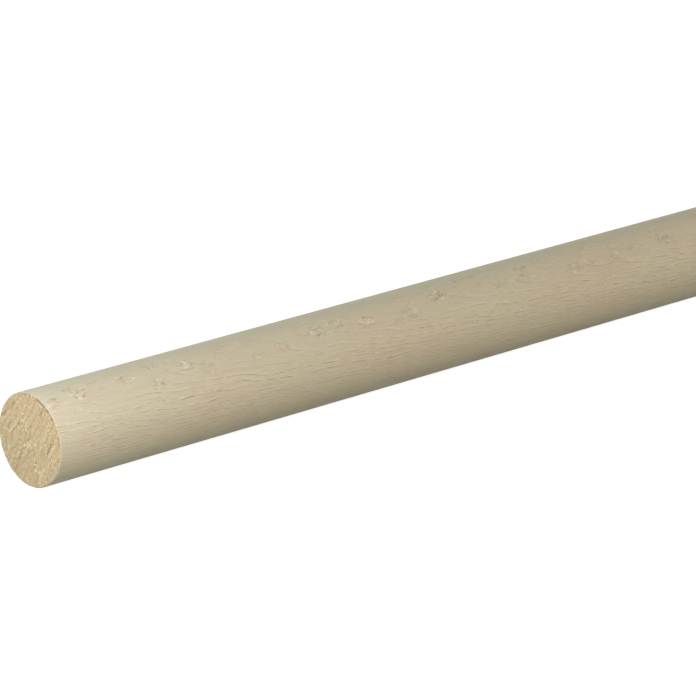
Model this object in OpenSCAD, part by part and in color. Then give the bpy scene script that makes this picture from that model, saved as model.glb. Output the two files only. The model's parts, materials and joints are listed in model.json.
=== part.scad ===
// Wooden dowel rod: one machined length of beech with square sawn ends.
// The rod lies along +X, and the origin is the centre of the near end's face.

/* [Rod] */
// Diameter of the rod
rod_d = 28; // [8:1:50]
// Length from one sawn end to the other
rod_l = 1000; // [100:10:2400]

/* [Ends] */
// Radius that sanding leaves on the edge round each sawn end
edge_r = 0.4; // [0.1:0.1:1.5]

/* [Hidden] */
$fn = 128;
beech = "#d3c4a6";

// Radius of the rod
rod_r = rod_d / 2;
// Radius of the flat that is left on each end, inside the rounded edge
flat_r = rod_r - edge_r;
// Length of the straight round wall between the two rounded edges
wall_l = rod_l - 2 * edge_r;

// Half of the lengthwise section: the rod's axis is the line x = 0, and its length runs along y.
module half_section() {
    square([flat_r, rod_l]);
    translate([0, edge_r])
        square([rod_r, wall_l]);
    for (y = [edge_r, edge_r + wall_l])
        translate([flat_r, y])
            circle(r = edge_r);
}

// The whole rod: its half section turned about the axis and laid along +X.
module dowel_rod() {
    color(beech)
        rotate([0, 90, 0])
            rotate_extrude()
                half_section();
}

dowel_rod();
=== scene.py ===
"""A length of round beech rod with sawn ends, on a pale studio floor.

The rod lies along +X, in metres with +Z up, and the centre of its near sawn end is the origin.
Angles round the rod start at the top and run towards -Y, the side that the camera sees.
"""

import json
import math

import bpy
import numpy as np
from bpy.props import FloatProperty, FloatVectorProperty, PointerProperty
from mathutils import Euler, Matrix, Vector


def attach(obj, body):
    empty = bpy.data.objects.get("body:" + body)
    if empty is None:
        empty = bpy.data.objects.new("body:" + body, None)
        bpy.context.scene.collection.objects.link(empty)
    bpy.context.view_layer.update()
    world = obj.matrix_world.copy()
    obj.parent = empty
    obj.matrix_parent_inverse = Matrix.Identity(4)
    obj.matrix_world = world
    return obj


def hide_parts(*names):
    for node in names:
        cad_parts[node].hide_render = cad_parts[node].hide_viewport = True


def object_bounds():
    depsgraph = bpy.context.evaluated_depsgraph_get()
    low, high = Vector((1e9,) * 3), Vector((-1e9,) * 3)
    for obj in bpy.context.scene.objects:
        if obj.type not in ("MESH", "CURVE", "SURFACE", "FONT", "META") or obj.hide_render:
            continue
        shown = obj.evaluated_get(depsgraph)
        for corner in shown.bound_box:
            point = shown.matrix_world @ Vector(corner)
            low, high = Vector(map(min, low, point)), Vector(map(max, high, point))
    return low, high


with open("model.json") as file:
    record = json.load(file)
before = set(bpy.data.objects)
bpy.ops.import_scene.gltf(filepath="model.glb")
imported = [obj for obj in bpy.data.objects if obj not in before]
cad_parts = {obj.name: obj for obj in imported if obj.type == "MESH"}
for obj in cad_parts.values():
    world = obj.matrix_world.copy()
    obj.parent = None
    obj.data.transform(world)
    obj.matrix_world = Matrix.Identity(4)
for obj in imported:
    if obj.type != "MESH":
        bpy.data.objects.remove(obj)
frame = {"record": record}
CAD_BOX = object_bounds()

bl_info = {
    "name": "Beech dowel rod",
    "version": (1, 0, 0),
    "blender": (4, 5, 0),
    "location": "3D View > Sidebar > Dowel",
    "description": "A sawn length of round beech rod on a pale studio floor",
    "category": "Add Mesh",
}

MM = 0.001
ROD_NODE = "dowel_rod"
ROD_BODY = "root"

# The rod's sizes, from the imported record: the shank is the straight wall between the two eased edges.
SHANK = next(mount["dims"] for mount in frame["record"]["mounts"] if mount["name"] == "shank")
ROD_RADIUS = SHANK["r_mm"] * MM
ROD_LENGTH = CAD_BOX[1].x - CAD_BOX[0].x
EDGE_RADIUS = (ROD_LENGTH - SHANK["length_mm"] * MM) / 2

# How finely the rod's surface is drawn
ROUND_STEPS = 320
FACE_RINGS = 96
EDGE_RINGS = 5
STRIP_RINGS = 16
# Rings of the wall beside each eased edge, as distances from the end
SUPPORT_RINGS = np.array([0.8, 1.2, 1.8, 3.0, 6.0]) * MM

# The flat layout of the surface: the side in strips, one above the other, and the ends enlarged over them
STRIPS = 3
LAYOUT_GAP = 3 * MM
END_ENLARGED = 2.0
LAYOUT_NAME = "OFBake"

# Random lattice of the noises on the ends, and the seeds of the near and the far end
LATTICE = 64
NEAR_SEED, FAR_SEED = 11, 29
# Added to an end's seed, so that each noise has its own: 0 to 2 are the layers of saw marks
PATCH_NOISE = 3
WEAR_NOISES = (4, 5)
# Noises that break the painted shadow along the torn rim into dots
SHADOW_DOT_NOISES = (8, 6)
WANDER_NOISE = 7
# Shares of the slow noise round a rim and of the one that is twice as quick
WEAR_SHARES = (0.5, 0.5)
SHADOW_DOT_SHARES = (0.4, 0.5)
# Share of the torn rim that the painted shadow along it darkens, on average
SHADOW_DOT_MEAN = 0.42
# Layers of saw marks: width across the strokes, length along them, and share of the height
SAW_STROKES = (1.7 * MM, 9.0 * MM, 0.50)
SAW_TEETH = (1.3 * MM, 4.2 * MM, 0.70)
TORN_FIBRES = (0.7 * MM, 1.6 * MM, 0.25)
# Size of the patches where the blade tore the wood, and strayed, more or less
TORN_PATCH = 4.0 * MM
# Half of the width over which the two sides of a saw mark are told apart, for the painted shade on one
# side and the painted highlight on the other
MARK_SIDE = 0.28 * MM

# Where a ray's halo, body and heart begin and are whole: 1 is the ray's rim and 0 its middle
RAY_HALO = (2.2, 1.3)
RAY_BODY = (1.15, 0.9)
RAY_HEART = (1.07, 0.97)
# How far the rays stray from the middles of their cells: 1 is all the way
RAY_SCATTER = 0.8
# Share of a flake's outline that its heart leaves out
FLAKE_HOLLOW = 0.9
# Where in a year's ring the late wood begins and is whole, and where it is over and still whole
RING_RISE = (0.3, 0.9)
RING_FALL = (1.0, 0.92)
# The dark side of a fine line, the rays' brown with painted shade, and its pale side, a painted highlight,
# as shares of the gap from sheet to sheet: where each begins and is whole, and where it is over and still
# whole. Both are over at the sheet, half way through the gap.
LINE_SHEET = 0.5
LINE_SIDES = (((0.32, 0.42), (LINE_SHEET, 0.46)), ((0.68, 0.58), (LINE_SHEET, 0.54)))

# Which marks the wall shows, by how it faces across the rays: where a zone begins, where it is whole,
# and what is left outside it. At 1 or -1 the wall runs along the rays, and at 0 it cuts them end on.
LINE_ZONE = (0.97, 0.78, 0.3)
FLAKE_ZONE = (0.91, 0.97, 0.0)
BACK_ZONE = (0.55, 0.0, 0.0)
# The same by how it faces along the rays: fewer lines show above the row of flakes on the front
LOWER_ZONE = (0.43, -0.21, 0.15)

# Patches and shifts, from smooth noise: the noise at which each begins and is whole, and its share there
RING_SHIFT = (0.0, 1.0, 1.0)
LINE_SHIFT = (0.2, 0.8, 1.2)
LINE_PIECES = (0.47, 0.54, 1.0)
RAY_BITES = (0.3, 0.7, 0.25)
FLAKE_BITES = (0.3, 0.7, 0.8)
FLAKE_OUTLINES = (0.4, 0.5, 2.1)
FLAKE_CRUMBS = (0.5, 0.58, 0.75)
FIBRE_HEIGHTS = (0.3, 0.8, 1.0)
FIBRE_STREAKS = (0.5, 0.75, 0.08)
PINK_CLOUDS = (0.35, 0.65, 0.55)
# Patches where the painted highlight along the lit side of each edge is stronger
HIGHLIGHT_CLOUDS = (0.35, 0.65, 1.0)
TORN_AREAS = (0.38, 0.62, 1.0)
END_FLECKS = (0.565, 0.61, 1.0)
END_STREAKS = (0.57, 0.66, 1.0)
# Floors of the saw marks, which are darker, and their two sides, with painted shade on one and a painted
# highlight on the other: the height or slope at which each begins and is whole, and its share
GROOVE_FLOORS = (0.3, -0.8, 0.15)
PAINTED_SHADE_SIDES = (-0.05, -0.6, 0.54)
PAINTED_HIGHLIGHT_SIDES = (0.1, 0.55, 0.7)

# How strongly marks colour the wood, from the weakest of them to the strongest. Those under 0 don't show.
HALO_STRENGTH = (0.08, 0.3)
FINE_RAY_STRENGTH = (-0.25, 0.27)
BROAD_RAY_STRENGTH = (-0.25, 0.32)
# The pale side of each fine line is a painted highlight, and its dark side the rays' brown with painted
# shade
LINE_HIGHLIGHT_STRENGTH = (0.6, 1.0)
DARK_LINE_STRENGTH = (0.36, 0.68)
FLAKE_STRENGTH = (0.1, 1.15)
# Painted highlight along the lit side of each edge
HIGHLIGHT_STRENGTH = (0.3, 0.7)
END_RAY_STRENGTH = (0.15, 0.5)
END_FLECK_STRENGTH = (0.35, 1.0)
END_STREAK_STRENGTH = (0.1, 0.5)
# How strongly late wood colours the wall and the ends
SIDE_RING_SHARE = 0.1
END_RING_SHARE = 0.2

# Finish of bare beech: the sanded wall is matt, its rays are smoother and lower, and the ends are rough
BEECH_IOR = 1.53
BEECH_SPECULAR = 0.12
SIDE_ROUGHNESS = (0.52, 0.7)
END_ROUGHNESS = 0.85
RAY_SMOOTHING = -0.1
RAY_DIP = -0.6
BUMP_STRENGTH = 0.5

# Sockets of a Mix node that blends colours, and of one that blends numbers
FACTOR, FIRST, SECOND, BLEND = 0, 6, 7, 2
FIRST_NUMBER, SECOND_NUMBER = 2, 3
# The mean of a noise's three channels, and the middle of a unit cell
MIDDLE = (0.5, 0.5, 0.5)
WHITE = (1, 1, 1, 1)


def linear(hex_colour):
    """Linear red, green, blue and full alpha of an sRGB hex colour such as d2c3a6, by the sRGB curve."""
    channels = [int(hex_colour[i:i + 2], 16) / 255 for i in (0, 2, 4)]
    return *(c / 12.92 if c <= 0.04045 else ((c + 0.055) / 1.055) ** 2.4 for c in channels), 1.0


class RodShape(bpy.types.PropertyGroup):
    """Sizes of the rod, of the marks that sawing and sanding left on it, and of its painted highlight and
    shadow.
    """

    radius: FloatProperty(
        name="Radius", description="Radius of the round wall",
        default=ROD_RADIUS, unit="LENGTH", precision=4)
    length: FloatProperty(
        name="Length", description="From one sawn end to the other",
        default=ROD_LENGTH, unit="LENGTH")
    edge_radius: FloatProperty(
        name="Edge radius", description="Radius that sanding left on the edge round each end",
        default=EDGE_RADIUS, unit="LENGTH", precision=5)
    edge_wear: FloatProperty(
        name="Edge wear", description="Share of its radius by which the edge is uneven",
        default=0.3, subtype="FACTOR")
    # How far along the wall the painted highlight beside each edge reaches
    highlight_fade: FloatProperty(
        name="Edge fade", description="How far along the wall the sanding of the edge shows",
        default=4.5 * MM, unit="LENGTH", precision=5)
    saw_depth: FloatProperty(
        name="Saw mark depth", description="From the crests of the saw marks to their floors",
        default=0.07 * MM, unit="LENGTH", precision=5)
    saw_angle: FloatProperty(
        name="Saw stroke angle", description="Slope of the strokes across the near end, seen from outside",
        default=math.radians(57), subtype="ANGLE")
    blade_radius: FloatProperty(
        name="Blade radius", description="Radius of the round blade, which bends the strokes",
        default=125 * MM, unit="LENGTH")
    calm_height: FloatProperty(
        name="Calm height", description="Share of their height that the saw marks keep in calm patches",
        default=0.3, subtype="FACTOR")
    stroke_wander: FloatProperty(
        name="Stroke wander", description="How far the strokes stray from the blade's arc",
        default=0.7 * MM, unit="LENGTH", precision=5)
    # Where the blade tore the rim: the edge is smaller there, and a painted shadow runs along the rim
    exit_side: FloatProperty(
        name="Exit side", description="Angle round the rod where the blade came out and tore the rim",
        default=math.radians(40), subtype="ANGLE")
    exit_reach: FloatProperty(
        name="Exit reach", description="Angle from the exit side at which the rim is whole again",
        default=math.radians(63), subtype="ANGLE")
    # Where round the rod the painted highlight along each edge lies, on the side that faces the lamps, and
    # how far it reaches
    highlight_side: FloatProperty(
        name="Rub side", description="Angle round the rod where the wall was rubbed clean",
        default=math.radians(25), subtype="ANGLE")
    highlight_reach: FloatProperty(
        name="Rub reach", description="Angle from the rub side at which the rubbing ends",
        default=math.radians(42), subtype="ANGLE")
    torn_edge: FloatProperty(
        name="Torn edge", description="Share of the edge radius that is left where the rim is torn",
        default=0.55, subtype="FACTOR")
    # Width of the painted shadow along the torn rim of the flat
    rim_shadow_width: FloatProperty(
        name="Rim width", description="Width of the torn rim of the flat on that side",
        default=0.55 * MM, unit="LENGTH", precision=5)


class BeechFigure(bpy.types.PropertyGroup):
    """Colours and grain of the wood, with the colours of its painted light and shade.

    Sizes run along the grain, out along the rays, and round the rings.
    """

    grain_turn: FloatVectorProperty(
        name="Grain turn", description="Turns the rod's axes to the trunk's: along the grain, rays, rings",
        default=(math.radians(-30), math.radians(-3.2), math.radians(0.8)), subtype="EULER")
    pith_distance: FloatProperty(
        name="Pith distance", description="From the rod's axis to the middle of the trunk",
        default=75 * MM, unit="LENGTH")
    ring_width: FloatProperty(
        name="Ring width", description="One year's growth", default=2.3 * MM, unit="LENGTH", precision=4)
    ring_drift: FloatVectorProperty(
        name="Ring drift", description="Distances over which the rings wander",
        default=(60 * MM, 9 * MM, 9 * MM), unit="LENGTH", precision=4)
    broad_ray_spacing: FloatVectorProperty(
        name="Broad ray spacing", description="Room that each broad ray has",
        default=(7 * MM, 5.5 * MM, 0.9 * MM), unit="LENGTH", precision=5)
    broad_ray_half: FloatVectorProperty(
        name="Broad ray half size", description="Half height, reach and thickness of a broad ray",
        default=(2.2 * MM, 2.4 * MM, 0.15 * MM), unit="LENGTH", precision=5)
    fine_ray_spacing: FloatVectorProperty(
        name="Fine ray spacing", description="Room that each fine ray has",
        default=(6 * MM, 2.5 * MM, 0.6 * MM), unit="LENGTH", precision=5)
    fine_ray_half: FloatVectorProperty(
        name="Fine ray half size", description="Half height, reach and thickness of a fine ray",
        default=(2.9 * MM, 0.9 * MM, 0.12 * MM), unit="LENGTH", precision=5)
    flake_spacing: FloatVectorProperty(
        name="Flake spacing", description="Room that each flake has where the surface runs along the rays",
        default=(10 * MM, 8 * MM, 28 * MM), unit="LENGTH", precision=4)
    flake_half: FloatVectorProperty(
        name="Flake half size",
        description="Half height and reach of a flake, and a depth that goes through the whole rod",
        default=(4.2 * MM, 3.0 * MM, 1000 * MM), unit="LENGTH", precision=5)
    ragged_size: FloatVectorProperty(
        name="Ragged size", description="Distances over which the rims of the rays wander",
        default=(1.6 * MM, 0.8 * MM, 0.8 * MM), unit="LENGTH", precision=5)
    ragged_reach: FloatVectorProperty(
        name="Ragged reach", description="How far the rims of the rays wander",
        default=(1.2 * MM, 0.8 * MM, 0.26 * MM), unit="LENGTH", precision=5)
    crumb_size: FloatVectorProperty(
        name="Crumb size", description="Gaps and beads along the rays",
        default=(1.3 * MM, 0.9 * MM, 0.9 * MM), unit="LENGTH", precision=5)
    flake_bend: FloatVectorProperty(
        name="Flake bend size", description="Distances over which the flakes' outlines bend and break",
        default=(2.6 * MM, 1.8 * MM, 1.8 * MM), unit="LENGTH", precision=5)
    line_gap: FloatProperty(
        name="Line gap", description="Between the sheets of thin rays that show as fine lines",
        default=1.05 * MM, unit="LENGTH", precision=5)
    line_wander: FloatVectorProperty(
        name="Line wander", description="Distances over which those sheets wander by their gap",
        default=(26 * MM, 6 * MM, 6 * MM), unit="LENGTH", precision=5)
    line_break: FloatVectorProperty(
        name="Line piece size", description="Length and width of the pieces that those lines break into",
        default=(2.7 * MM, 1.1 * MM, 1.1 * MM), unit="LENGTH", precision=5)
    fibre_size: FloatVectorProperty(
        name="Fibre streak size", description="Length and width of a streak of pores",
        default=(6 * MM, 0.4 * MM, 0.4 * MM), unit="LENGTH", precision=5)
    cloud_size: FloatVectorProperty(
        name="Cloud size", description="Length and width of the pink clouds and of the rubbed patches",
        default=(34 * MM, 8 * MM, 8 * MM), unit="LENGTH", precision=4)
    end_streak_size: FloatVectorProperty(
        name="End streak size", description="Dark streaks of pores across the sawn ends",
        default=(20 * MM, 0.5 * MM, 2.8 * MM), unit="LENGTH", precision=5)
    end_fleck_size: FloatVectorProperty(
        name="End fleck size", description="Torn fibres on the sawn ends",
        default=(20 * MM, 0.75 * MM, 1.1 * MM), unit="LENGTH", precision=5)
    torn_size: FloatVectorProperty(
        name="Torn patch size", description="Patches of the sawn ends with more streaks and flecks",
        default=(20 * MM, 4 * MM, 4 * MM), unit="LENGTH", precision=5)
    relief: FloatProperty(
        name="Relief", description="Height of the fibres that sanding left standing",
        default=0.04 * MM, unit="LENGTH", precision=5)
    early_wood: FloatVectorProperty(
        name="Early wood", description="Pale wood of each ring",
        size=4, default=linear("d5caad"), subtype="COLOR")
    late_wood: FloatVectorProperty(
        name="Late wood", description="Darker end of each ring",
        size=4, default=linear("c5b496"), subtype="COLOR")
    pink_cloud: FloatVectorProperty(
        name="Pink cloud", description="Wood of the faint pink clouds",
        size=4, default=linear("d6c3a8"), subtype="COLOR")
    # Brown of the rays and pores; also the painted shade of the fine lines and the painted rim shadow
    ray_brown_and_shade: FloatVectorProperty(
        name="Ray edge", description="Brown of the rays, the pores, the fine lines and the torn rim",
        size=4, default=linear("927552"), subtype="COLOR")
    # Pale middle of a ray and the wood beside rays; also the painted highlight beside each fine line
    ray_heart_and_highlight: FloatVectorProperty(
        name="Ray heart", description="Pale middle of a ray, and the wood beside rays and fine lines",
        size=4, default=linear("ece1c8"), subtype="COLOR")
    # Colour of the painted highlight along the lit side of each edge
    edge_highlight: FloatVectorProperty(
        name="Rubbed edge", description="Wood that sanding left clean round each end",
        size=4, default=linear("e6d0ba"), subtype="COLOR")
    end_wood: FloatVectorProperty(
        name="End wood", description="Plain wood of the sawn ends",
        size=4, default=linear("e9c99c"), subtype="COLOR")
    # Floors of the saw marks, pores and late wood, and the painted shade on one side of each saw mark
    end_dark_and_shade: FloatVectorProperty(
        name="End groove", description="Floors and dark sides of the saw marks, pores and late wood",
        size=4, default=linear("a8824f"), subtype="COLOR")
    # Torn fibres on the ends, and the painted highlight on the other side of each saw mark
    end_fleck_and_highlight: FloatVectorProperty(
        name="End fleck", description="Torn fibres and sides of the saw marks that catch the light",
        size=4, default=linear("fde6bf"), subtype="COLOR")


class StudioStage(bpy.types.PropertyGroup):
    """The camera's view, the floor and the lamps. A level of 1 renders a white card as white."""

    azimuth: FloatProperty(
        name="View azimuth", description="0 looks along +Y", default=math.radians(-42.821), subtype="ANGLE")
    elevation: FloatProperty(
        name="View elevation", description="Above the horizon",
        default=math.radians(17.747), subtype="ANGLE")
    focal_length: FloatProperty(
        name="Focal length", description="In millimetres, on a sensor as wide as the one below",
        default=222.83, subtype="DISTANCE_CAMERA")
    sensor_width: FloatProperty(
        name="Sensor width", description="In millimetres", default=36.0, subtype="DISTANCE_CAMERA")
    picture_width: FloatProperty(
        name="Picture width", description="Side of the square picture", default=696, subtype="PIXEL")
    near_end_px: FloatVectorProperty(
        name="Near end in the picture", description="Centre of the near end, from the top left",
        size=2, default=(29.5, 440.2))
    near_end_depth: FloatProperty(
        name="Near end depth", description="From the camera to the near end, along the view",
        default=1.222, unit="LENGTH")
    sky_level: FloatProperty(
        name="Sky level", description="Even light from all round", default=0.298)
    sky_colour: FloatVectorProperty(
        name="Sky colour", description="Cool daylight", size=4, default=linear("e0f5fc"), subtype="COLOR")
    key_level: FloatProperty(
        name="Key level", description="Large soft lamp above the camera's side", default=0.505)
    key_colour: FloatVectorProperty(
        name="Key colour", description="Warm lamp", size=4, default=linear("ffeddf"), subtype="COLOR")
    key_way: FloatVectorProperty(
        name="Key way", description="From the rod to the lamp",
        default=(-0.14, -0.855, 0.50), subtype="DIRECTION")
    key_distance: FloatProperty(
        name="Key distance", description="From the rod's middle to the key lamp and to the fill lamp",
        default=8.0, unit="LENGTH")
    key_size: FloatProperty(
        name="Key size", description="Side of the square lamp", default=5.0, unit="LENGTH")
    fill_level: FloatProperty(
        name="Fill level", description="Soft lamp low behind the rod", default=0.55)
    fill_colour: FloatVectorProperty(
        name="Fill colour", description="Warm lamp", size=4, default=linear("ffe6cc"), subtype="COLOR")
    fill_way: FloatVectorProperty(
        name="Fill way", description="From the rod to the lamp",
        default=(0.3, 0.95, 0.03), subtype="DIRECTION")
    fill_size: FloatProperty(
        name="Fill size", description="Side of the square lamp", default=1.5, unit="LENGTH")
    end_level: FloatProperty(
        name="End level", description="Small lamp close to each end", default=0.84)
    end_colour: FloatVectorProperty(
        name="End colour", description="Cool lamp", size=4, default=linear("f0f6ff"), subtype="COLOR")
    end_way: FloatVectorProperty(
        name="End way", description="From the near end to its lamp",
        default=(-0.74, -0.36, 0.58), subtype="DIRECTION")
    end_distance: FloatProperty(
        name="End distance", description="From each end to its lamp", default=0.15, unit="LENGTH")
    end_size: FloatProperty(
        name="End size", description="Side of the square lamp", default=0.12, unit="LENGTH")
    top_level: FloatProperty(
        name="Top level", description="Small lamp above the rod, near each end", default=0.14)
    top_colour: FloatVectorProperty(
        name="Top colour", description="Cool lamp", size=4, default=linear("c8ecff"), subtype="COLOR")
    top_way: FloatVectorProperty(
        name="Top way", description="From the rod to the lamp", default=(0, 0.5, 0.87), subtype="DIRECTION")
    top_place: FloatProperty(
        name="Top place", description="From each end to the spot that its lamp faces",
        default=0.05, unit="LENGTH")
    top_distance: FloatProperty(
        name="Top distance", description="From the rod to the lamp", default=0.22, unit="LENGTH")
    top_size: FloatProperty(
        name="Top size", description="Side of the square lamp", default=0.15, unit="LENGTH")
    floor_reach: FloatProperty(
        name="Floor reach", description="From the rod to the floor's sides", default=100.0, unit="LENGTH")
    floor_colour: FloatVectorProperty(
        name="Floor colour", description="Grey paper, which the lift shows as white",
        size=4, default=linear("929b96"), subtype="COLOR")
    floor_lift: FloatProperty(
        name="Floor lift", description="Light that the floor shows the camera, over its own shading",
        default=0.93)


def smoothstep(t):
    """Eases 0 to 1 with level ends: three t squared less two t cubed."""
    return t * t * (3 - 2 * t)


def value_noise(u, v, seed):
    """Smooth random heights from -1 to 1: seeded values on a lattice, eased both ways between its points."""
    table = np.random.default_rng(seed).uniform(-1, 1, (LATTICE, LATTICE))
    i, j = np.floor(u).astype(int), np.floor(v).astype(int)
    s, t = smoothstep(u - i), smoothstep(v - j)
    low_i, high_i, low_j, high_j = i % LATTICE, (i + 1) % LATTICE, j % LATTICE, (j + 1) % LATTICE
    near = (1 - t) * table[low_i, low_j] + t * table[low_i, high_j]
    far = (1 - t) * table[high_i, low_j] + t * table[high_i, high_j]
    return (1 - s) * near + s * far


def saw_marks(shape, y, z, seed, aside=0.0):
    """Heights of a sawn end, about -1 on the floors of the marks and 1 on their crests.

    u runs across the strokes and v along them. A round blade cuts arcs, so u gains v squared over twice
    the blade's radius. It also strays by a noise, and aside shifts it. The marks are three layers of noise,
    each stretched along v: broad strokes, single teeth, and torn fibres. They are lower in calm patches.
    """
    across = np.array([-math.sin(shape.saw_angle), -math.cos(shape.saw_angle)])
    v = across[1] * y - across[0] * z
    u = across[0] * y + across[1] * z + v ** 2 / (2 * shape.blade_radius) + aside
    u = u + shape.stroke_wander * value_noise(u / TORN_PATCH, v / TORN_PATCH, seed + WANDER_NOISE)
    marks = sum(
        share * value_noise(u / width, v / length, seed + layer)
        for layer, (width, length, share) in enumerate((SAW_STROKES, SAW_TEETH, TORN_FIBRES)))
    torn = smoothstep((1 + value_noise(u / TORN_PATCH, v / TORN_PATCH, seed + PATCH_NOISE)) / 2)
    return marks * (shape.calm_height + (1 - shape.calm_height) * torn)


def side_share(angle, side, reach):
    """1 on one side of the rod, easing by the cosine to 0 at the reach to the left and right of it."""
    least = math.cos(reach)
    return smoothstep(np.clip((np.cos(angle - side) - least) / (1 - least), 0, 1))


def rim_noise(angle, seed, noises, shares):
    """Noise round a rim, in two layers: one goes once through the lattice in a turn, and the other twice."""
    turn = angle / (2 * math.pi) * LATTICE
    return sum(
        share * value_noise(rounds * turn, 0 * turn, seed + noise)
        for rounds, noise, share in zip((1, 2), noises, shares))


def sawn_end(shape, angle, seed):
    """Rings of one end, from next to its middle to where the straight wall begins.

    The flat is a set of circles that shrink to the middle, pressed in by the saw marks. The eased edge
    is a quarter circle from the flat to the wall, whose radius wanders round the rod by smooth noise and
    is smaller where the blade tore the rim. Returns the depth from the end, the distance from the axis,
    and the marks that the wood is coloured by, each with a row for each ring. Some of these marks paint
    light and shade: a painted shadow along the torn rim, a painted highlight along the edge on the side
    that faces the lamps, and the slope across the saw marks, which paints shade on one side of each and a
    highlight on the other. The painted rim shadow fades inwards by a bell curve, and the other marks change
    over the edge by powers of its sine or cosine.
    """
    wear = rim_noise(angle, seed, WEAR_NOISES, WEAR_SHARES)
    # Dots of the painted shadow along the torn rim
    shadow_dots = np.clip(SHADOW_DOT_MEAN + rim_noise(angle, seed, SHADOW_DOT_NOISES, SHADOW_DOT_SHARES), 0, 1)
    torn_side = side_share(angle, shape.exit_side, shape.exit_reach)
    # Side of the rod where the painted highlight lies along the edge
    highlight_side = side_share(angle, shape.highlight_side, shape.highlight_reach)
    whole_edge = shape.edge_radius * (1 + shape.edge_wear * wear)
    edge = whole_edge * (1 - (1 - shape.torn_edge) * torn_side)
    flat_r = np.linspace(0, 1, FACE_RINGS + 1)[1:, None] * (shape.radius - edge)
    y, z = -flat_r * np.sin(angle), flat_r * np.cos(angle)
    height = saw_marks(shape, y, z, seed)
    # The slope across each saw mark paints shade on one side of it and a highlight on the other
    slope = saw_marks(shape, y, z, seed, MARK_SIDE) - saw_marks(shape, y, z, seed, -MARK_SIDE)
    flat_x = shape.saw_depth * (1 - np.clip(height, -1, 1)) / 2
    quarter = np.linspace(0, math.pi / 2, EDGE_RINGS + 1)[1:, None]
    edge_x = flat_x[-1] * np.cos(quarter) + edge * (1 - np.cos(quarter))
    edge_r = shape.radius - edge * (1 - np.sin(quarter))
    flat, arc = np.ones_like(flat_r), np.ones_like(edge_r)
    # Painted shadow along the torn rim: a dark dotted line that fades inwards from the flat's border, and
    # also darkens the inner part of the arc
    rim = np.exp(-((flat_r[-1] - flat_r) / shape.rim_shadow_width) ** 2)
    torn = shadow_dots * torn_side
    marks = {
        "end_grain": np.concatenate([flat, (1 - np.sin(quarter)) * arc]),
        "edge_highlight": np.concatenate([0 * flat, np.sin(quarter) ** 4 * highlight_side]),
        "rim_shadow": np.concatenate([rim * torn, np.cos(quarter) ** 2 * torn]),
        "saw_relief": np.concatenate([height, np.cos(quarter) * height[-1]]),
        "saw_slope": np.concatenate([slope, 0 * arc]),
    }
    return np.concatenate([flat_x, edge_x]), np.concatenate([flat_r, edge_r]), marks


def rod_grid(shape):
    """The rod's surface as rings round its axis: the near end, the straight wall and the far end.

    A point is its place along the axis and its distance from it, turned by its angle: y is minus the
    distance times the sine, and z the distance times the cosine. The two poles aren't in the grid. The
    wall has only the painted highlight beside each edge, on the side that faces the lamps, which eases
    out along it.
    """
    angle = np.arange(ROUND_STEPS) * 2 * math.pi / ROUND_STEPS
    near_x, near_r, near_marks = sawn_end(shape, angle, NEAR_SEED)
    far_x, far_r, far_marks = sawn_end(shape, angle, FAR_SEED)
    even = np.linspace(0, shape.length, STRIPS * STRIP_RINGS + 1)[1:-1]
    wall_x = np.concatenate([SUPPORT_RINGS, even, shape.length - SUPPORT_RINGS[::-1]])[:, None]
    wall = np.ones((len(wall_x), ROUND_STEPS))
    from_end = np.minimum(wall_x, shape.length - wall_x)
    highlight_side = side_share(angle, shape.highlight_side, shape.highlight_reach)
    wall_marks = {name: 0 * wall for name in near_marks}
    # Painted highlight on the lit side of the wall, next to each end
    wall_marks["edge_highlight"] = smoothstep(np.clip(1 - from_end / shape.highlight_fade, 0, 1)) * highlight_side
    x = np.concatenate([near_x, wall_x * wall, shape.length - far_x[::-1]])
    r = np.concatenate([near_r, shape.radius * wall, far_r[::-1]])
    points = np.stack([x, -r * np.sin(angle), r * np.cos(angle)], axis=-1)
    marks = {
        name: np.concatenate([near_marks[name], wall_marks[name], far_marks[name][::-1]])
        for name in wall_marks}
    return points, marks


def rod_faces(rows):
    """Faces of a closed grid of rings between two poles, all facing outwards.

    Point 0 is the near pole, ring i starts at 1 + i * ROUND_STEPS, and the last point is the far pole.
    """
    column = np.arange(ROUND_STEPS)
    after = (column + 1) % ROUND_STEPS
    ring = 1 + np.arange(rows - 1)[:, None] * ROUND_STEPS
    next_ring = ring + ROUND_STEPS
    quads = np.stack([ring + column, ring + after, next_ring + after, next_ring + column], axis=-1)
    last = 1 + (rows - 1) * ROUND_STEPS
    near_fan = np.stack([0 * column, 1 + after, 1 + column], axis=-1)
    far_fan = np.stack([last + column, last + after, 0 * column + last + ROUND_STEPS], axis=-1)
    return near_fan.tolist() + quads.reshape(-1, 4).tolist() + far_fan.tolist()


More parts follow.
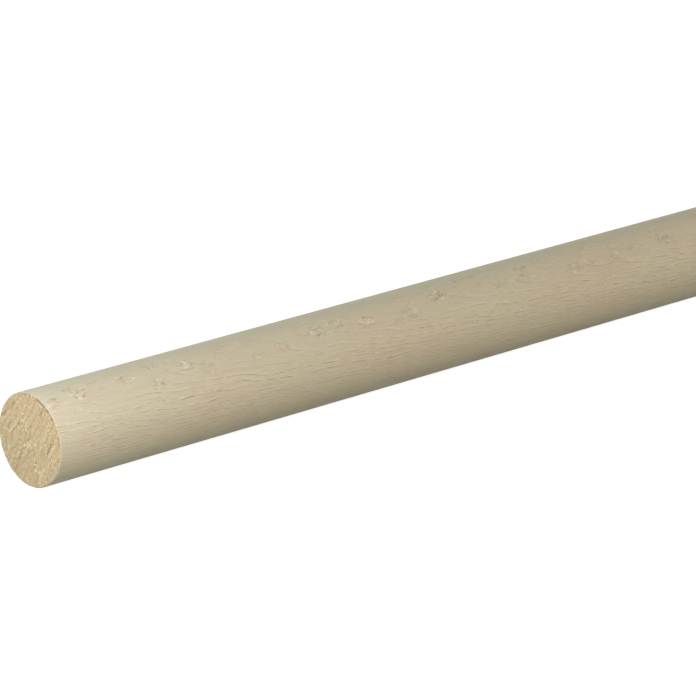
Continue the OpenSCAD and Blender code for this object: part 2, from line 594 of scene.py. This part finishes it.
def rod_layout(shape, points):
    """Flat places of every corner of every face, in the order of rod_faces, on a unit square.

    The side is unrolled: its length along the profile runs across, and its angle times the radius runs
    up. It is cut in strips of equal length, one above the other, with a gap on each side and one for the
    eased edges. The ends lie over them as discs.
    """
    rows = len(points)
    steps = np.linalg.norm(np.diff(points[:, 0], axis=0), axis=1)
    along = np.concatenate([[0], np.cumsum(steps)])
    along = along - along[FACE_RINGS - 1]
    up = np.arange(ROUND_STEPS + 1) * 2 * math.pi / ROUND_STEPS * shape.radius
    middle = (points[:-1, 0, 0] + points[1:, 0, 0]) / 2
    strip_length = shape.length / STRIPS
    strip = np.clip((middle / strip_length).astype(int), 0, STRIPS - 1)
    start = LAYOUT_GAP + along[:-1] - strip * strip_length
    end = LAYOUT_GAP + along[1:] - strip * strip_length
    base = LAYOUT_GAP + strip * (up[-1] + LAYOUT_GAP)

    def corner(across, height):
        return np.stack(np.broadcast_arrays(across[:, None], base[:, None] + height), axis=-1)

    quads = np.stack([
        corner(start, up[:-1]), corner(start, up[1:]), corner(end, up[1:]), corner(end, up[:-1])], axis=2)

    disc_r = END_ENLARGED * shape.radius
    disc_y = LAYOUT_GAP + STRIPS * (up[-1] + LAYOUT_GAP) + disc_r
    near_centre = np.array([LAYOUT_GAP + disc_r, disc_y])
    far_centre = near_centre + (LAYOUT_GAP + 2 * disc_r, 0)
    near = near_centre + END_ENLARGED * points[:FACE_RINGS, :, 1:] * (-1, 1)
    far = far_centre + END_ENLARGED * points[rows - FACE_RINGS:, :, 1:]

    def disc_quads(disc):
        after = np.roll(disc, -1, axis=1)
        return np.stack([disc[:-1], after[:-1], after[1:], disc[1:]], axis=2)

    quads[:FACE_RINGS - 1] = disc_quads(near)
    quads[rows - FACE_RINGS:] = disc_quads(far)
    near_fan = np.stack([
        np.broadcast_to(near_centre, near[0].shape), np.roll(near[0], -1, axis=0), near[0]], axis=1)
    far_fan = np.stack([
        far[-1], np.roll(far[-1], -1, axis=0), np.broadcast_to(far_centre, far[-1].shape)], axis=1)
    corners = np.concatenate([fans.reshape(-1, 2) for fans in (near_fan, quads, far_fan)])
    square = max(strip_length + 3 * LAYOUT_GAP, disc_y + disc_r + LAYOUT_GAP)
    return corners / square


def rod_mesh(shape):
    """Closes the rod's grid with a pole at the middle of each end, and stores its layout and marks."""
    points, marks = rod_grid(shape)
    near_pole = points[0].mean(axis=0, keepdims=True)
    far_pole = points[-1].mean(axis=0, keepdims=True)
    places = np.concatenate([near_pole, points.reshape(-1, 3), far_pole])
    mesh = bpy.data.meshes.new("dowel_rod_beech")
    mesh.from_pydata(places.tolist(), [], rod_faces(len(points)))
    mesh.polygons.foreach_set("use_smooth", np.ones(len(mesh.polygons), bool))
    for name, values in marks.items():
        with_poles = np.concatenate([values[:1, 0], values.reshape(-1), values[-1:, 0]])
        mesh.attributes.new(name, "FLOAT", "POINT").data.foreach_set("value", with_poles)
    layout = mesh.uv_layers.new(name=LAYOUT_NAME)
    layout.data.foreach_set("uv", rod_layout(shape, points).reshape(-1))
    mesh.validate()
    return mesh


def add(tree, kind, inputs, **settings):
    """Adds a node, with its settings, and fills its inputs: an output is linked, and a value is set."""
    made = tree.nodes.new("ShaderNode" + kind)
    for name, value in settings.items():
        setattr(made, name, value)
    for name, value in inputs.items():
        if isinstance(value, bpy.types.NodeSocket):
            tree.links.new(value, made.inputs[name])
        else:
            made.inputs[name].default_value = value
    return made


def mottle(tree, place, size, patches):
    """Random patches of a size, from smooth noise: 0 up to where they begin, and their share where whole."""
    begin, whole, share = patches
    cells = add(tree, "VectorMath", {0: place, 1: size}, operation="DIVIDE").outputs[0]
    noise = add(tree, "TexNoise", {"Vector": cells, "Scale": 1.0, "Detail": 1.0}).outputs["Fac"]
    return add(tree, "MapRange", {"Value": noise, "From Min": begin, "From Max": whole, "To Max": share},
               interpolation_type="SMOOTHSTEP").outputs[0]


def uneven(tree, mask, chance, strengths):
    """A mask made uneven: a chance of 0 gives it the weakest of the strengths, and 1 the strongest."""
    weakest, strongest = strengths
    strength = add(tree, "Math", {
        0: chance, 1: strongest - weakest, 2: weakest}, operation="MULTIPLY_ADD").outputs[0]
    return add(tree, "Math", {0: mask, 1: strength}, operation="MULTIPLY").outputs[0]


def painted(tree, base, coats):
    """A colour with others laid over it in turn, each by its share."""
    for share, colour in coats:
        base = add(tree, "Mix", {FACTOR: share, FIRST: base, SECOND: colour},
                   data_type="RGBA").outputs[BLEND]
    return base


def band(tree, value, rise, fall):
    """A band along a value: it eases from 0 to 1 over the rise, and the fall takes it back to 0."""
    begun, not_over = (
        add(tree, "MapRange", {"Value": value, "From Min": empty, "From Max": full},
            interpolation_type="SMOOTHSTEP").outputs[0]
        for empty, full in (rise, fall))
    return add(tree, "Math", {0: begun, 1: not_over}, operation="MULTIPLY").outputs[0]


def growth_rings(tree, grain, figure):
    """0 in early wood and 1 in late wood: a slow rise and a quick fall in each ring width from the pith."""
    drift = mottle(tree, grain, figure.ring_drift, RING_SHIFT)
    cross_cut = add(tree, "VectorMath", {
        0: grain, 1: (0, 1, 1), 2: (0, figure.pith_distance, 0)}, operation="MULTIPLY_ADD").outputs[0]
    from_pith = add(tree, "VectorMath", {0: cross_cut}, operation="LENGTH").outputs["Value"]
    years = add(tree, "Math", {
        0: from_pith, 1: 1 / figure.ring_width, 2: drift}, operation="MULTIPLY_ADD").outputs[0]
    season = add(tree, "Math", {0: years}, operation="FRACT").outputs[0]
    return band(tree, season, RING_RISE, RING_FALL)


def ray_zones(tree, cut):
    """Where fine lines and dashes show, and where flakes do, by the way that the surface is cut.

    Flakes show where the wall runs along the rays, in a row on two opposite sides of the rod. The lines
    fade towards both rows, and on the front there are fewer of them above the row than below it.
    """
    facing = add(tree, "SeparateXYZ", {0: cut}).outputs
    along_rays = add(tree, "Math", {0: facing[2]}, operation="ABSOLUTE").outputs[0]
    lines, flakes, lower, back = (
        add(tree, "MapRange", {
            "Value": value, "From Min": begin, "From Max": whole, "To Min": least}).outputs[0]
        for value, (begin, whole, least) in (
            (along_rays, LINE_ZONE), (along_rays, FLAKE_ZONE),
            (facing[1], LOWER_ZONE), (facing[2], BACK_ZONE)))
    outer = add(tree, "Math", {0: lower, 1: back}, operation="MAXIMUM").outputs[0]
    return add(tree, "Math", {0: lines, 1: outer}, operation="MULTIPLY").outputs[0], flakes


def ragged_rims(tree, grain, figure):
    """The grain's coordinates, pushed about by noise so that the rays' rims wander."""
    cells = add(tree, "VectorMath", {0: grain, 1: figure.ragged_size}, operation="DIVIDE").outputs[0]
    noise = add(tree, "TexNoise", {"Vector": cells, "Scale": 1.0, "Detail": 1.0}).outputs["Color"]
    centred = add(tree, "VectorMath", {0: noise, 1: MIDDLE}, operation="SUBTRACT").outputs[0]
    return add(tree, "VectorMath", {
        0: centred, 1: figure.ragged_reach, 2: grain}, operation="MULTIPLY_ADD").outputs[0]


def rays(tree, ragged, bites, spacing, half_size, dimensions="3D"):
    """Masks of the halo, body and heart of the rays, and a random number for each ray.

    Space is cut in cells as large as the spacing, with a ray somewhere in each. A ray's rim is an
    ellipsoid: as high along the grain, as long and as thin as the half sizes say. The bites eat into it.
    """
    density = tuple(1 / room for room in spacing)
    cells = add(tree, "VectorMath", {0: ragged, 1: density, 2: MIDDLE}, operation="MULTIPLY_ADD").outputs[0]
    cell = add(tree, "TexVoronoi", {"Vector": cells, "Scale": 1.0, "Randomness": RAY_SCATTER},
               voronoi_dimensions=dimensions)
    offset = add(tree, "VectorMath", {
        0: cells, 1: cell.outputs["Position"]}, operation="SUBTRACT").outputs[0]
    stretch = tuple(room / half for room, half in zip(spacing, half_size))
    scaled = add(tree, "VectorMath", {0: offset, 1: stretch}, operation="MULTIPLY").outputs[0]
    smooth = add(tree, "VectorMath", {0: scaled}, operation="LENGTH").outputs["Value"]
    reach = add(tree, "Math", {0: smooth, 1: bites}, operation="ADD").outputs[0]
    halo, body, heart = (
        add(tree, "MapRange", {"Value": reach, "From Min": empty, "From Max": full},
            interpolation_type="SMOOTHSTEP").outputs[0]
        for empty, full in (RAY_HALO, RAY_BODY, RAY_HEART))
    return halo, body, heart, add(tree, "SeparateColor", {0: cell.outputs["Color"]}).outputs[0]


def fine_lines(tree, grain, zone, figure):
    """Dark and pale sides of fine broken lines along the grain, inside a zone.

    They are the traces of sheets a gap apart, which wander by smooth noise. The sheet is half way
    through each gap: just before it the wood is dark, the rays' brown with painted shade, and just after
    it pale, a painted highlight, so that each line looks lit from one side.
    """
    wander = mottle(tree, grain, figure.line_wander, LINE_SHIFT)
    across = add(tree, "SeparateXYZ", {0: grain}).outputs[2]
    gaps = add(tree, "Math", {
        0: across, 1: 1 / figure.line_gap, 2: wander}, operation="MULTIPLY_ADD").outputs[0]
    in_gap = add(tree, "Math", {0: gaps}, operation="FRACT").outputs[0]
    pieces = mottle(tree, grain, figure.line_break, LINE_PIECES)
    shown = add(tree, "Math", {0: pieces, 1: zone}, operation="MULTIPLY").outputs[0]
    return [
        add(tree, "Math", {0: band(tree, in_gap, rise, fall), 1: shown}, operation="MULTIPLY").outputs[0]
        for rise, fall in LINE_SIDES]


def ray_flakes(tree, grain, ragged, zone, figure):
    """Dark outlines and pale crumbs of the flakes, inside a zone.

    A flake is a ray that lies flat in the surface. Its rim is a broken outline, and crumbs fill its heart.
    """
    bites = mottle(tree, grain, figure.flake_bend, FLAKE_BITES)
    _, body, heart, chance = rays(tree, ragged, bites, figure.flake_spacing, figure.flake_half, "2D")
    body = add(tree, "Math", {0: body, 1: zone}, operation="MULTIPLY").outputs[0]
    body = uneven(tree, body, chance, FLAKE_STRENGTH)
    rim = add(tree, "Math", {0: heart, 1: -FLAKE_HOLLOW, 2: 1.0}, operation="MULTIPLY_ADD").outputs[0]
    marks = []
    for area, size, patches in (
            (rim, figure.flake_bend, FLAKE_OUTLINES), (heart, figure.crumb_size, FLAKE_CRUMBS)):
        mark = add(tree, "Math", {0: body, 1: area}, operation="MULTIPLY").outputs[0]
        broken = mottle(tree, ragged, size, patches)
        marks.append(add(tree, "Math", {0: mark, 1: broken}, operation="MULTIPLY").outputs[0])
    return marks


def sanded_wood(tree, grain, cut, rings, figure):
    """Colour of the sanded wall, and the mask and random numbers of its broad rays."""
    # Mask of the painted highlight along the lit side of each edge
    rubbed = add(tree, "Attribute", {}, attribute_name="edge_highlight").outputs["Fac"]
    line_zone, flake_zone = ray_zones(tree, cut)
    ragged = ragged_rims(tree, grain, figure)
    bites = mottle(tree, grain, figure.crumb_size, RAY_BITES)
    halo, body, _, chance = rays(tree, ragged, bites, figure.broad_ray_spacing, figure.broad_ray_half)
    fine_halo, fine_body, _, fine_chance = rays(
        tree, ragged, bites, figure.fine_ray_spacing, figure.fine_ray_half)
    halo, body, fine_halo, fine_body = (
        add(tree, "Math", {0: mask, 1: line_zone}, operation="MULTIPLY").outputs[0]
        for mask in (halo, body, fine_halo, fine_body))
    # Sides of the fine lines: the rays' brown with painted shade, and a painted highlight
    line_brown_and_shade, line_highlight = fine_lines(tree, grain, line_zone, figure)
    dark_flake, pale_flake = ray_flakes(tree, grain, ragged, flake_zone, figure)
    highlight_cloud = mottle(tree, grain, figure.cloud_size, HIGHLIGHT_CLOUDS)
    late_wood = add(tree, "Math", {0: rings, 1: SIDE_RING_SHARE}, operation="MULTIPLY").outputs[0]
    colour = painted(tree, figure.early_wood, [
        (late_wood, figure.late_wood),
        (mottle(tree, grain, figure.cloud_size, PINK_CLOUDS), figure.pink_cloud),
        (mottle(tree, grain, figure.fibre_size, FIBRE_STREAKS), figure.ray_brown_and_shade),
        (uneven(tree, halo, chance, HALO_STRENGTH), figure.ray_heart_and_highlight),
        (uneven(tree, fine_halo, fine_chance, HALO_STRENGTH), figure.ray_heart_and_highlight),
        (uneven(tree, fine_body, fine_chance, FINE_RAY_STRENGTH), figure.ray_brown_and_shade),
        (uneven(tree, body, chance, BROAD_RAY_STRENGTH), figure.ray_brown_and_shade),
        # The pale side of each fine line is a painted highlight, and its dark side the rays' brown with
        # painted shade
        (uneven(tree, line_highlight, fine_chance, LINE_HIGHLIGHT_STRENGTH), figure.ray_heart_and_highlight),
        (uneven(tree, line_brown_and_shade, fine_chance, DARK_LINE_STRENGTH), figure.ray_brown_and_shade),
        (pale_flake, figure.ray_heart_and_highlight),
        (dark_flake, figure.ray_brown_and_shade),
        # Painted highlight along the lit side of each edge
        (uneven(tree, rubbed, highlight_cloud, HIGHLIGHT_STRENGTH), figure.edge_highlight),
    ])
    return colour, body, chance


def sawn_wood(tree, grain, rings, broad_rays, figure):
    """Colour of the sawn ends, and the mask of their torn fibres."""
    # The painted shadow along the torn rim, the heights of the saw marks, and their slope, which paints
    # their shaded and lit sides
    rim_shadow, relief, slope = (
        add(tree, "Attribute", {}, attribute_name=name).outputs["Fac"]
        for name in ("rim_shadow", "saw_relief", "saw_slope"))
    groove, painted_shade_side, painted_highlight_side = (
        add(tree, "MapRange", {"Value": value, "From Min": begin, "From Max": whole, "To Max": share},
            interpolation_type="SMOOTHSTEP").outputs[0]
        for value, (begin, whole, share) in (
            (relief, GROOVE_FLOORS), (slope, PAINTED_SHADE_SIDES), (slope, PAINTED_HIGHLIGHT_SIDES)))
    torn = mottle(tree, grain, figure.torn_size, TORN_AREAS)
    flecks = mottle(tree, grain, figure.end_fleck_size, END_FLECKS)
    flecks = uneven(tree, flecks, torn, END_FLECK_STRENGTH)
    streaks = mottle(tree, grain, figure.end_streak_size, END_STREAKS)
    late_wood = add(tree, "Math", {0: rings, 1: END_RING_SHARE}, operation="MULTIPLY").outputs[0]
    colour = painted(tree, figure.end_wood, [
        (groove, figure.end_dark_and_shade),
        # Painted shade on one side of each saw mark, and a painted highlight on the other
        (painted_shade_side, figure.end_dark_and_shade),
        (painted_highlight_side, figure.end_fleck_and_highlight),
        (late_wood, figure.end_dark_and_shade),
        (uneven(tree, streaks, torn, END_STREAK_STRENGTH), figure.end_dark_and_shade),
        (broad_rays, figure.ray_heart_and_highlight),
        (flecks, figure.end_fleck_and_highlight),
        # Painted shadow along the torn rim
        (rim_shadow, figure.ray_brown_and_shade),
    ])
    return colour, flecks


def sanded_beech(figure):
    """Beech, machined round and sanded, with the ends left as the saw cut them.

    That gives the eye pale straw with faint rings and clouds, short brown dashes and fine lines where the
    rays are cut across, a row of flakes where the surface runs along them, and warmer, rougher ends. Pores
    are a tenth of a millimetre wide, too fine to show, so they are drawn as streaks four times as wide.
    Some light and shade is painted into the colour too: a painted highlight beside each fine line and
    along the lit side of each edge, painted shade and highlights on the two sides of each saw mark, and a
    painted shadow along the torn rim.
    """
    material = bpy.data.materials.new("beech_sanded")
    material.use_nodes = True
    tree = material.node_tree
    tree.nodes.clear()
    place = add(tree, "TexCoord", {}).outputs
    grain, cut = (
        add(tree, "Mapping", {"Vector": place[name], "Rotation": figure.grain_turn},
            vector_type=kind).outputs[0]
        for name, kind in (("Object", "POINT"), ("Normal", "VECTOR")))
    end_grain = add(tree, "Attribute", {}, attribute_name="end_grain").outputs["Fac"]
    rings = growth_rings(tree, grain, figure)
    side, body, chance = sanded_wood(tree, grain, cut, rings, figure)
    end, flecks = sawn_wood(tree, grain, rings, uneven(tree, body, chance, END_RAY_STRENGTH), figure)
    colour = painted(tree, side, [(end_grain, end)])

    fibre = mottle(tree, grain, figure.fibre_size, FIBRE_HEIGHTS)
    smoothest, roughest = SIDE_ROUGHNESS
    roughness = add(tree, "MapRange", {"Value": fibre, "To Min": smoothest, "To Max": roughest}).outputs[0]
    roughness = add(tree, "Math", {
        0: body, 1: RAY_SMOOTHING, 2: roughness}, operation="MULTIPLY_ADD").outputs[0]
    roughness, height = (
        add(tree, "Mix", {FACTOR: end_grain, FIRST_NUMBER: on_side, SECOND_NUMBER: on_end},
            data_type="FLOAT").outputs[0]
        for on_side, on_end in ((roughness, END_ROUGHNESS), (fibre, flecks)))
    height = add(tree, "Math", {0: body, 1: RAY_DIP, 2: height}, operation="MULTIPLY_ADD").outputs[0]
    bump = add(tree, "Bump", {
        "Height": height, "Distance": figure.relief, "Strength": BUMP_STRENGTH}).outputs[0]
    shader = add(tree, "BsdfPrincipled", {
        "Base Color": colour, "Roughness": roughness, "Normal": bump, "IOR": BEECH_IOR,
        "Specular IOR Level": BEECH_SPECULAR})
    add(tree, "OutputMaterial", {"Surface": shader.outputs[0]})
    return material


class DOWEL_OT_turn_rod(bpy.types.Operator):
    """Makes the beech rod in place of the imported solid"""

    bl_idname = "dowel.turn_rod"
    bl_label = "Turn rod"

    def execute(self, context):
        rod = bpy.data.objects.new("dowel_rod_beech", rod_mesh(context.scene.dowel_shape))
        context.scene.collection.objects.link(rod)
        rod.data.materials.append(sanded_beech(context.scene.dowel_figure))
        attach(rod, ROD_BODY)
        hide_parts(ROD_NODE)
        return {"FINISHED"}


def seen_rays(tree):
    """1 for the rays that show a surface as a background: the camera's own, mirrored and through glass."""
    path = add(tree, "LightPath", {}).outputs
    mirrored = add(tree, "Math", {
        0: path["Is Camera Ray"], 1: path["Is Glossy Ray"]}, operation="MAXIMUM").outputs[0]
    return add(tree, "Math", {0: mirrored, 1: path["Is Transmission Ray"]}, operation="MAXIMUM").outputs[0]


def pale_floor(stage):
    """Matt paper: an even pale surface that keeps soft shadows, and shows white where it is lit."""
    material = bpy.data.materials.new("floor_paper")
    material.use_nodes = True
    tree = material.node_tree
    tree.nodes.clear()
    lift = add(tree, "Math", {0: seen_rays(tree), 1: stage.floor_lift}, operation="MULTIPLY").outputs[0]
    paper = add(tree, "BsdfDiffuse", {"Color": stage.floor_colour}).outputs[0]
    glow = add(tree, "Emission", {"Strength": lift}).outputs[0]
    both = add(tree, "AddShader", {0: paper, 1: glow}).outputs[0]
    add(tree, "OutputMaterial", {"Surface": both})
    return material


def light_sky(world, stage):
    """Even cool light from all round, and plain white behind everything."""
    world.use_nodes = True
    tree = world.node_tree
    tree.nodes.clear()
    light = add(tree, "Background", {"Color": stage.sky_colour, "Strength": stage.sky_level}).outputs[0]
    white = add(tree, "Background", {"Color": WHITE, "Strength": 1.0}).outputs[0]
    sky = add(tree, "MixShader", {0: seen_rays(tree), 1: light, 2: white}).outputs[0]
    add(tree, "OutputWorld", {"Surface": sky})


def add_lamp(scene, name, target, way, distance, size, level, colour, mirrored):
    """A square lamp that faces its target, lights a white card there to the level, and may be mirrored.

    Its power is the level, pi squared and the distance squared, multiplied.
    """
    lamp = bpy.data.lights.new(name, "AREA")
    lamp.size = size
    lamp.energy = level * math.pi ** 2 * distance ** 2
    lamp.color = colour[:3]
    held = bpy.data.objects.new(name, lamp)
    towards = Vector(way).normalized()
    turn = towards.to_track_quat("Z", "Y").to_matrix().to_4x4()
    held.matrix_world = Matrix.Translation(Vector(target) + towards * distance) @ turn
    held.visible_camera = False
    held.visible_glossy = mirrored
    scene.collection.objects.link(held)


def set_camera(scene, stage):
    """A camera that sees the near end's centre at its pixel of the picture, and at its depth."""
    camera = bpy.data.cameras.new("camera")
    camera.sensor_width = stage.sensor_width
    camera.lens = stage.focal_length
    turn = Euler((math.pi / 2 - stage.elevation, 0, stage.azimuth)).to_matrix()
    pixel = stage.sensor_width / stage.picture_width / stage.focal_length
    middle = stage.picture_width / 2
    across, down = stage.near_end_px
    near_end = Vector(((across - middle) * pixel, (middle - down) * pixel, -1)) * stage.near_end_depth
    held = bpy.data.objects.new("camera", camera)
    held.matrix_world = Matrix.Translation(turn @ -near_end) @ turn.to_4x4()
    scene.collection.objects.link(held)
    scene.camera = held


def lay_floor(scene, stage, depth):
    """A level square of paper at a depth under the rod's axis."""
    corners = np.array([[-1, -1, 0], [1, -1, 0], [1, 1, 0], [-1, 1, 0]]) * stage.floor_reach
    paper = bpy.data.meshes.new("floor")
    paper.from_pydata((corners - (0, 0, depth)).tolist(), [], [(0, 1, 2, 3)])
    paper.materials.append(pale_floor(stage))
    floor = bpy.data.objects.new("floor", paper)
    scene.collection.objects.link(floor)


class DOWEL_OT_set_stage(bpy.types.Operator):
    """Sets the camera, the floor and the lamps"""

    bl_idname = "dowel.set_stage"
    bl_label = "Set stage"

    def execute(self, context):
        scene = context.scene
        stage, shape = scene.dowel_stage, scene.dowel_shape
        scene.view_settings.view_transform = "Standard"
        set_camera(scene, stage)
        lay_floor(scene, stage, shape.radius)
        scene.world = bpy.data.worlds.new("sky")
        light_sky(scene.world, stage)
        middle = (shape.length / 2, 0, 0)
        add_lamp(scene, "key_lamp", middle, stage.key_way,
                 stage.key_distance, stage.key_size, stage.key_level, stage.key_colour, True)
        add_lamp(scene, "fill_lamp", middle, stage.fill_way,
                 stage.key_distance, stage.fill_size, stage.fill_level, stage.fill_colour, False)
        for name, place, inwards in (("near", 0, 1), ("far", shape.length, -1)):
            end_way = Vector(stage.end_way) * Vector((inwards, 1, 1))
            add_lamp(scene, name + "_end_lamp", (place, 0, 0), end_way,
                     stage.end_distance, stage.end_size, stage.end_level, stage.end_colour, True)
            add_lamp(scene, name + "_top_lamp", (place + inwards * stage.top_place, 0, 0), stage.top_way,
                     stage.top_distance, stage.top_size, stage.top_level, stage.top_colour, False)
        return {"FINISHED"}


class DOWEL_PT_bench(bpy.types.Panel):
    """Sizes, wood and stage of the rod"""

    bl_label = "Beech dowel rod"
    bl_space_type = "VIEW_3D"
    bl_region_type = "UI"
    bl_category = "Dowel"

    def draw(self, context):
        scene = context.scene
        for groups, operator in (
            ((scene.dowel_shape, scene.dowel_figure), "dowel.turn_rod"),
            ((scene.dowel_stage,), "dowel.set_stage"),
        ):
            box = self.layout.box()
            for group in groups:
                for name in group.__annotations__:
                    box.prop(group, name)
            box.operator(operator)


CLASSES = (RodShape, BeechFigure, StudioStage, DOWEL_OT_turn_rod, DOWEL_OT_set_stage, DOWEL_PT_bench)
GROUPS = {"dowel_shape": RodShape, "dowel_figure": BeechFigure, "dowel_stage": StudioStage}


def register():
    for made in CLASSES:
        bpy.utils.register_class(made)
    for name, group in GROUPS.items():
        setattr(bpy.types.Scene, name, PointerProperty(type=group))


def unregister():
    for name in GROUPS:
        delattr(bpy.types.Scene, name)
    for made in reversed(CLASSES):
        bpy.utils.unregister_class(made)


def main():
    register()
    bpy.ops.dowel.turn_rod()
    bpy.ops.dowel.set_stage()


if __name__ == "__main__":
    main()
